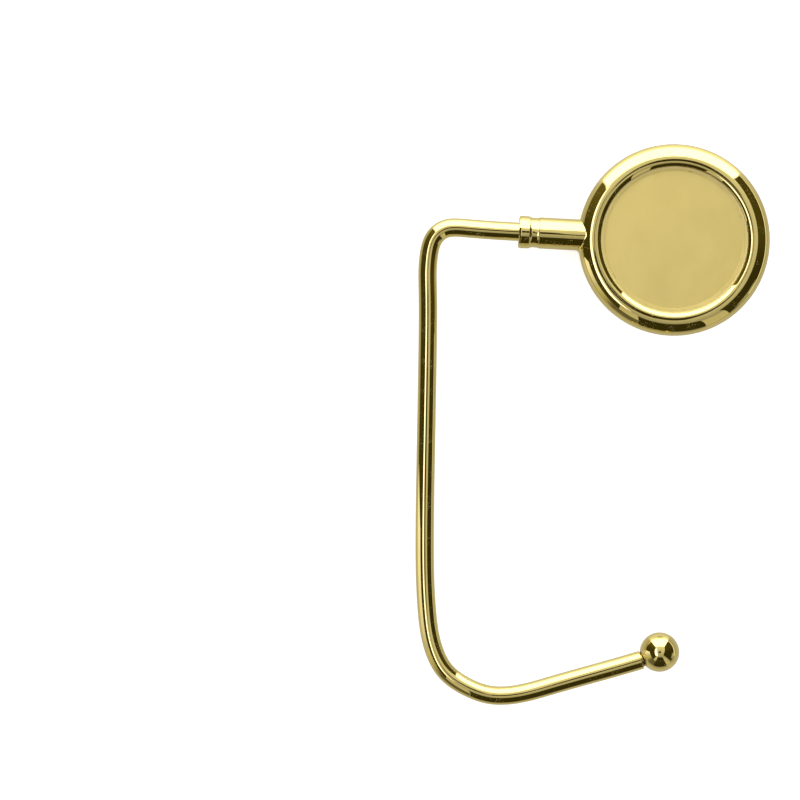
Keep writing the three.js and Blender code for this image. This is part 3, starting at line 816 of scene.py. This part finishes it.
warm = (1.0, 0.86, 0.2)
card("flag_east", standing(242, -256, 242, 258, [680, 570, 490, 465, 445], 14), shaded_glow("east_flag", [("Y", -0.06, 0.06, 0.036, 0.068)], warm))
card("flag_west", standing(-310, -454, -310, 250, [775, 640, 560, 510, 540, 620]), shaded_glow("west_flag", [("Y", -0.02, 0.25, 0.05, 0.125)], warm))
card("flag_south", standing(-168, -500, 255, -500, [800, 800]), glow("south_flag", 0.035, warm)[0])
# The gap under the east flag, where the backdrop shows.
card("gap_east", standing(246, -140, 246, 262, [12, 12]), glow("gap_light", 1.1)[0])
# Pale backdrops beside the south flag.
pale, _, _ = glow("pale_backdrop", 0.56, (1.0, 0.98, 0.88))
card("backdrop_southeast", standing(256, -500, 480, -500, [700, 700]), pale)
card("backdrop_southwest", [(-345, -502, 348), (-169, -502, 300), (-169, -502, 900), (-345, -502, 900)], pale)
# The large soft light north of the part.
north, _, _ = glow("soft_light_north", 3.1, (1.0, 1.0, 0.99))
card("light_north", [(-268, 225, -6), (206, 225, -6), (206, 225, 425), (15, 225, 430), (-130, 225, 450), (-268, 225, 510)], north)
# A lower light card in front of the west flag, bright at its north end and fading to the south.
west = shaded_glow("soft_light_west", [("Y", -0.25, -0.07, 0.42, 1.12)], (1.0, 1.0, 1.12))
card("light_west", [(-300, -65, -6), (-300, -89, 165), (-300, -202, 202), (-300, -202, -6)], west)
far_west = shaded_glow("soft_light_far_west", [("Y", -0.39, -0.2, 0.13, 0.60)], (1.0, 0.96, 0.70))
card("light_far_west", [(-300, -202, -6), (-300, -202, 202), (-300, -454, 306), (-300, -880, 520), (-300, -880, -6)], far_west)
east = shaded_glow("soft_light_east", [("Y", -0.215, -0.17, 0.03, 0.4), ("Y", -0.08, -0.11, 0.1, 1.0)])
card("light_east", [(238, -215, 18), (238, -85, 18), (238, -85, 70), (238, -215, 70)], east)
strip, _, _ = glow("strip_light", 2.2, (0.97, 0.98, 1.35))
card("light_strip", [(-740, -560, 1200), (-240, -560, 1200), (-325, -210, 1200), (-390, 21, 1200), (-410, 282, 1200), (-415, 440, 1200), (-740, 440, 1200)], strip)
# The dark front of the camera, as the flattest places of the metal show it.
lens, _, _ = glow("camera_dark", 0.04, (1.0, 0.82, 0.3))
card("camera_shade_a", [(31, -110, 1000), (88, -110, 1000), (88, 131, 1000), (31, 131, 1000)], lens)
card("camera_shade_b", [(-60, -20, 1001), (8, -20, 1001), (8, 95, 1001), (-60, 95, 1001)], lens)
card("camera_shade_c", [(-200, -90, 1002), (75, -90, 1002), (75, -20, 1002), (-200, -20, 1002)], lens)
card("camera_shade_d", [(-200, -20, 1003), (10, -20, 1003), (10, 6, 1003), (-200, 6, 1003)], lens)
card("camera_shade_e", [(-150, -138, 1002), (31, -138, 1002), (31, -90, 1002), (-150, -90, 1002)], lens)
# The floor as the metal shows it: a glowing sheet with a painted pool of light that brightens it towards the north
# light, a painted shadow that darkens it close to the head, and a slight gloss.
mirror_floor = shaded_glow("floor_glow", [("Y", 0.012, 0.052, 0.570, 0.88)], (0.98, 0.97, 0.95))
mt = mirror_floor.node_tree
m_out = [n for n in mt.nodes if n.type == "OUTPUT_MATERIAL"][0]
m_glow = [n for n in mt.nodes if n.type == "EMISSION"][0]
m_gloss = mt.nodes.new("ShaderNodeBsdfGlossy")
m_place = mt.nodes.new("ShaderNodeTexCoord")
m_flat = mt.nodes.new("ShaderNodeVectorMath")
m_flat.operation = "MULTIPLY"
m_flat.inputs[1].default_value = (1.0, 1.0, 0.0)
m_away = mt.nodes.new("ShaderNodeVectorMath")
m_away.operation = "LENGTH"
mt.links.new(m_place.outputs["Object"], m_flat.inputs[0])
mt.links.new(m_flat.outputs[0], m_away.inputs[0])
m_level = m_glow.inputs["Strength"].links[0].from_socket
# Painted shadow: the glow is weaker within 40 mm of the head's centre.
mt.links.new(maths(mt, "MULTIPLY", m_level, ramp(mt, m_away.outputs["Value"], 0.020, 0.040, 0.84, 1.0)), m_glow.inputs["Strength"])
m_gloss.inputs["Roughness"].default_value = 0.16
m_fresnel = mt.nodes.new("ShaderNodeFresnel")
m_fresnel.inputs["IOR"].default_value = 1.72
m_mix = mt.nodes.new("ShaderNodeMixShader")
mt.links.new(m_fresnel.outputs[0], m_mix.inputs["Fac"])
mt.links.new(m_glow.outputs[0], m_mix.inputs[1])
mt.links.new(m_gloss.outputs[0], m_mix.inputs[2])
mt.links.new(m_mix.outputs[0], m_out.inputs["Surface"])
card("floor_seen_in_metal", [(-4000, -4000, -6), (4000, -4000, -6), (4000, 4000, -6), (-4000, 4000, -6)], mirror_floor)

# The room above, seen only in the metal: middle grey, brighter to the north.
dome_material, dome_tree, dome_shader = glow("room_glow", 1.0)
place = dome_tree.nodes.new("ShaderNodeTexCoord")
unit_node = dome_tree.nodes.new("ShaderNodeVectorMath")
unit_node.operation = "NORMALIZE"
dome_tree.links.new(place.outputs["Object"], unit_node.inputs[0])
split = dome_tree.nodes.new("ShaderNodeSeparateXYZ")
dome_tree.links.new(unit_node.outputs[0], split.inputs[0])
dome_tree.links.new(ramp(dome_tree, split.outputs["Y"], -0.6, 0.75, 0.29, 0.98, False), dome_shader.inputs["Strength"])
dome_rows = np.radians(np.linspace(-4, 90, 24))
dome_columns = full_turn(48)
dome_verts = [(6 * math.cos(e) * math.cos(c), 6 * math.cos(e) * math.sin(c), 6 * math.sin(e)) for e in dome_rows[:-1] for c in dome_columns]
dome_verts.append((0, 0, 6))
dome_faces = []
for i in range(len(dome_rows) - 2):
    for j in range(48):
        k = (j + 1) % 48
        dome_faces.append((i * 48 + j, i * 48 + k, (i + 1) * 48 + k, (i + 1) * 48 + j))
last = (len(dome_rows) - 2) * 48
for j in range(48):
    dome_faces.append((last + j, last + (j + 1) % 48, len(dome_verts) - 1))
dome_mesh = bpy.data.meshes.new("room")
dome_mesh.from_pydata(dome_verts, [], dome_faces)
dome_mesh.materials.append(dome_material)
dome = bpy.data.objects.new("room", dome_mesh)
scene.collection.objects.link(dome)
dome.visible_camera = dome.visible_shadow = dome.visible_diffuse = dome.visible_transmission = False

# The pale floor that the part lies on. It is clear from below, so that the underside can be looked at.
floor_material = bpy.data.materials.new("pale_floor")
floor_material.use_nodes = True
ft = floor_material.node_tree
ft.nodes.clear()
f_out = ft.nodes.new("ShaderNodeOutputMaterial")
f_diffuse = ft.nodes.new("ShaderNodeBsdfDiffuse")
f_diffuse.inputs["Color"].default_value = (0.8, 0.8, 0.79, 1.0)
f_light = ft.nodes.new("ShaderNodeEmission")
f_light.inputs["Strength"].default_value = 0.56
f_sum = ft.nodes.new("ShaderNodeAddShader")
f_clear = ft.nodes.new("ShaderNodeBsdfTransparent")
f_side = ft.nodes.new("ShaderNodeNewGeometry")
f_mix = ft.nodes.new("ShaderNodeMixShader")
ft.links.new(f_diffuse.outputs[0], f_sum.inputs[0])
ft.links.new(f_light.outputs[0], f_sum.inputs[1])
ft.links.new(f_side.outputs["Backfacing"], f_mix.inputs["Fac"])
ft.links.new(f_sum.outputs[0], f_mix.inputs[1])
ft.links.new(f_clear.outputs[0], f_mix.inputs[2])
ft.links.new(f_mix.outputs[0], f_out.inputs["Surface"])
floor = card("floor", [(-9000, -9000, -0.04), (9000, -9000, -0.04), (9000, 9000, -0.04), (-9000, 9000, -0.04)], floor_material, True)
floor.visible_glossy = False

world = bpy.data.worlds.new("soft_room")
world.use_nodes = True
scene.world = world
wt = world.node_tree
wt.nodes.clear()
w_out = wt.nodes.new("ShaderNodeOutputWorld")
w_back = wt.nodes.new("ShaderNodeBackground")
w_back.inputs["Color"].default_value = (1.0, 1.0, 1.0, 1.0)
w_back.inputs["Strength"].default_value = 1.0
wt.links.new(w_back.outputs[0], w_out.inputs["Surface"])
world.cycles_visibility.glossy = False

scene.view_settings.view_transform = "Standard"
scene.view_settings.look = "None"
scene.view_settings.exposure = 0.0
scene.view_settings.gamma = 1.0

bpy.context.view_layer.update()
